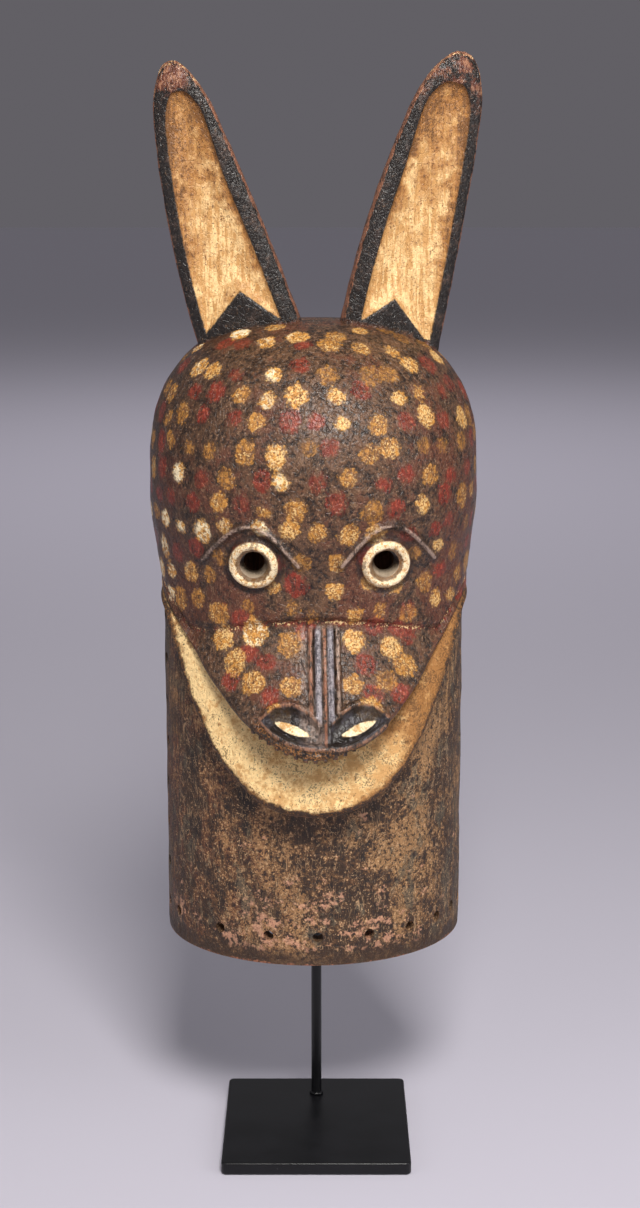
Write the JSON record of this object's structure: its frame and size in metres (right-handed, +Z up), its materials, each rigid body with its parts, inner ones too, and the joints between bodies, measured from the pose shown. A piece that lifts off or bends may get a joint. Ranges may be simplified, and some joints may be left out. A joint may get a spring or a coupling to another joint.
{
  "type": "zoomorphic mask on stand",
  "caption": "Carved and painted wooden animal mask, an open-backed half tube under a domed head with a long muzzle and tall ears, upright on a rod with a square steel base plate.",
  "frame": {"origin": "centre of the base plate's underside", "axes": "+Z up along the height, the mask looks along -Y, +X to the right of someone who faces it"},
  "size_m": [0.2586, 0.182, 0.8612],
  "materials": {
    "painted_wood": "old pigment and worn wood, half gloss",
    "blackened_steel": "black satin"
  },
  "bodies": {
    "root": {"mask": "painted_wood", "stand_rod": "blackened_steel", "stand_stay": "blackened_steel", "base_plate": "blackened_steel"}
  },
  "joints": []
}
